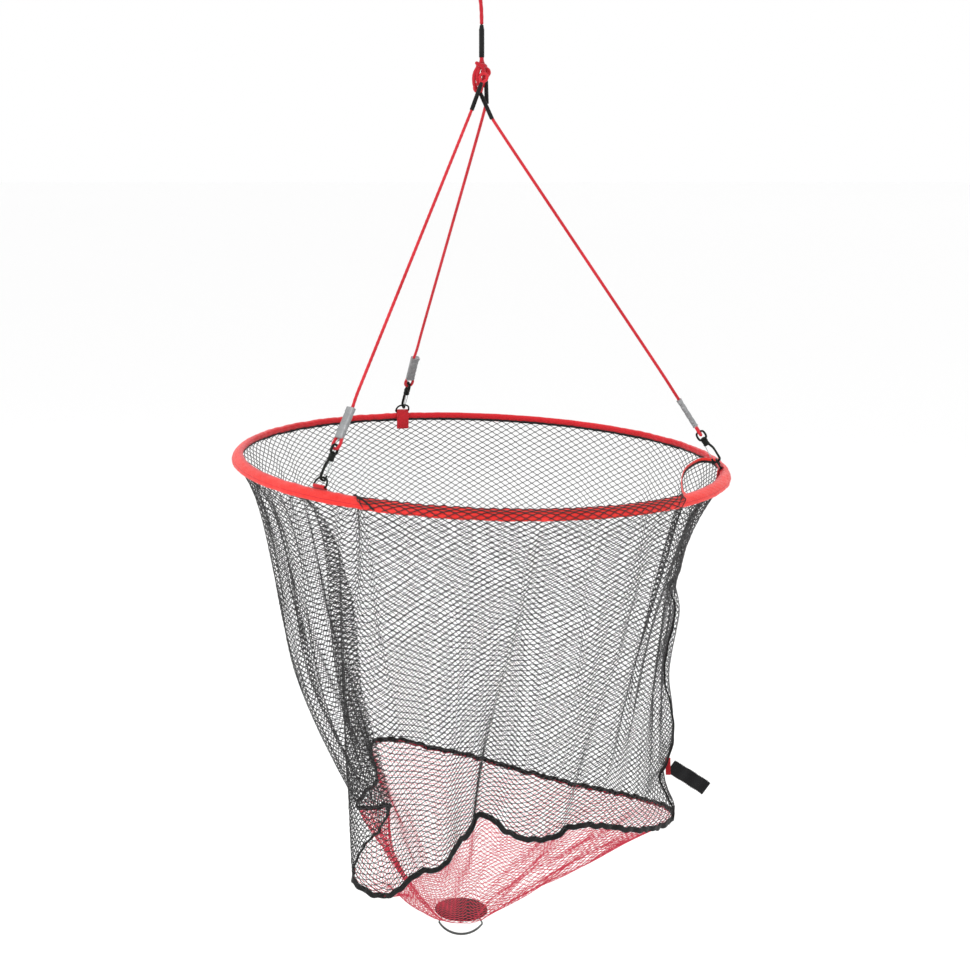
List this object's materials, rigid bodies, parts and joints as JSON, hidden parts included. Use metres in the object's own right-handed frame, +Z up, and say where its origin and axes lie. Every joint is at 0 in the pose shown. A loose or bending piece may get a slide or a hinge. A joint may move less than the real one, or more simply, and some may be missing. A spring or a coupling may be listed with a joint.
{
  "type": "crab_drop_net",
  "caption": "Folding drop net for crabs: a round sprung hoop in a red sleeve hangs on cord legs with snap hooks; black mesh bag, red mesh base.",
  "frame": {"origin": "inside the top of the hauling rope's end loop, where it hangs on a hook or a hand", "axes": "+Z up along the rope, +X to the net's right, +Y away from its front"},
  "size_m": [0.8001, 0.8, 1.6979],
  "materials": {
    "rope_red": "braided polyester rope, slightly glossy",
    "cord_red": "braided polyester cord, slightly glossy",
    "heat_shrink": "black heat-shrink tube, satin",
    "spring_steel": "plain spring steel wire and pressed ferrule",
    "sleeve_fabric": "coated red nylon fabric sleeve",
    "net_black": "knotless black polyester net twine",
    "net_red": "knotless red polyester net twine",
    "binding_black": "black woven binding tape",
    "patch_black": "black woven nylon webbing",
    "lead": "cast lead disc",
    "ring_steel": "dark oxidised steel strip",
    "crimp_metal": "pressed grey aluminium, matt",
    "hardware_black": "black coated zinc casting and wire",
    "gate_wire": "bright spring wire",
    "webbing_red": "red woven webbing",
    "strap_black": "black hook-and-loop tape"
  },
  "bodies": {
    "rope": {"main_rope": "rope_red", "hand_loop_sleeve": "heat_shrink"},
    "rope_end": {"rope_sleeve": "heat_shrink", "rope_eye": "rope_red"},
    "hoop": {"hoop_wire": "spring_steel", "hoop_ferrule": "spring_steel", "hoop_sleeve": "sleeve_fabric", "net_side": "net_black", "side_seam": "binding_black", "hem_band": "sleeve_fabric", "bottom_seam": "binding_black", "base_panel": "net_red", "left_leg_cord": "cord_red", "left_leg_sleeve": "heat_shrink", "left_crimp_sleeve": "crimp_metal", "left_swivel_eye": "hardware_black", "left_ring_tab": "webbing_red", "rear_leg_cord": "cord_red", "rear_leg_sleeve": "heat_shrink", "rear_crimp_sleeve": "crimp_metal", "rear_swivel_eye": "hardware_black", "rear_ring_tab": "webbing_red", "right_leg_cord": "cord_red", "right_leg_sleeve": "heat_shrink", "right_crimp_sleeve": "crimp_metal", "right_swivel_eye": "hardware_black", "right_ring_tab": "webbing_red"},
    "base": {"base_patch": "patch_black", "sinker": "lead", "base_ring_tab": "patch_black"},
    "base_ring": {"base_ring": "ring_steel"},
    "strap_root": {"strap_tab": "webbing_red"},
    "strap": {"strap": "strap_black"},
    "left_snap": {"left_snap_hook": "hardware_black"},
    "left_gate": {"left_snap_gate": "gate_wire"},
    "left_ring": {"left_d_ring": "hardware_black"},
    "rear_snap": {"rear_snap_hook": "hardware_black"},
    "rear_gate": {"rear_snap_gate": "gate_wire"},
    "rear_ring": {"rear_d_ring": "hardware_black"},
    "right_snap": {"right_snap_hook": "hardware_black"},
    "right_gate": {"right_snap_gate": "gate_wire"},
    "right_ring": {"right_d_ring": "hardware_black"}
  },
  "joints": [
    {"name": "rope_spin", "type": "hinge", "parent": "rope", "child": "rope_end", "pos_m": [0, 0, -0.188], "axis": [0, 0, 1], "continuous": true},
    {"name": "bridle_swing", "type": "hinge", "parent": "rope_end", "child": "hoop", "pos_m": [0, 0, -0.28], "axis": [0, 1, 0], "range_deg": [-22, 22]},
    {"name": "left_snap_swivel", "type": "hinge", "parent": "hoop", "child": "left_snap", "pos_m": [-0.22077, -0.28323, -0.81129], "axis": [0.3455, 0.4349, 0.8316], "range_deg": [-20, 20]},
    {"name": "left_gate_open", "type": "hinge", "parent": "left_snap", "child": "left_gate", "pos_m": [-0.2181, -0.27973, -0.81135], "axis": [-0.7952, 0.6063, 0.0134], "range_deg": [0, 13], "stiffness_Nm_per_rad": 0.02, "springref_deg": -17.19},
    {"name": "left_ring_rock", "type": "hinge", "parent": "hoop", "child": "left_ring", "pos_m": [-0.23532, -0.30154, -0.8463], "axis": [0.7952, -0.6063, -0.0134], "range_deg": [-4, 4]},
    {"name": "rear_snap_swivel", "type": "hinge", "parent": "hoop", "child": "rear_snap", "pos_m": [-0.13438, 0.33329, -0.81495], "axis": [0.2094, -0.511, 0.8337], "range_deg": [-20, 20]},
    {"name": "rear_gate_open", "type": "hinge", "parent": "rear_snap", "child": "rear_gate", "pos_m": [-0.13279, 0.32918, -0.81499], "axis": [0.9328, 0.3602, -0.0135], "range_deg": [0, 13], "stiffness_Nm_per_rad": 0.02, "springref_deg": -17.19},
    {"name": "rear_ring_rock", "type": "hinge", "parent": "hoop", "child": "rear_ring", "pos_m": [-0.14319, 0.3548, -0.85005], "axis": [-0.9328, -0.3602, 0.0135], "range_deg": [-4, 4]},
    {"name": "right_snap_swivel", "type": "hinge", "parent": "hoop", "child": "right_snap", "pos_m": [0.35763, -0.03762, -0.83605], "axis": [-0.5401, 0.0568, 0.8397], "range_deg": [-20, 20]},
    {"name": "right_gate_open", "type": "hinge", "parent": "right_snap", "child": "right_gate", "pos_m": [0.35324, -0.03717, -0.83604], "axis": [-0.1026, -0.9947, 0.0013], "range_deg": [0, 13], "stiffness_Nm_per_rad": 0.02, "springref_deg": -17.19},
    {"name": "right_ring_rock", "type": "hinge", "parent": "hoop", "child": "right_ring", "pos_m": [0.38037, -0.04001, -0.8714], "axis": [0.1026, 0.9947, -0.0013], "range_deg": [-4, 4]},
    {"name": "bag_collapse", "type": "slide", "parent": "hoop", "child": "base", "axis": [0.0401, 0, 0.9992], "range_m": [0, 0.6], "deforming": ["net_side", "side_seam", "bottom_seam", "base_panel"]},
    {"name": "base_ring_swing", "type": "hinge", "parent": "base", "child": "base_ring", "pos_m": [-0.03562, 0, -1.65411], "axis": [0.9992, 0, -0.0401], "range_deg": [-75, 75]},
    {"name": "strap_rise", "type": "slide", "parent": "hoop", "child": "strap_root", "axis": [0.0401, 0, 0.9992], "range_m": [0, 0.5]},
    {"name": "strap_flap", "type": "hinge", "parent": "strap_root", "child": "strap", "pos_m": [0.31019, -0.02354, -1.37938], "axis": [-0.0394, -0.0591, 0.9975], "range_deg": [-70, 70]}
  ],
  "couplings": [
    {"joint": "strap_rise", "follows": "bag_collapse", "ratio": 0.641}
  ]
}
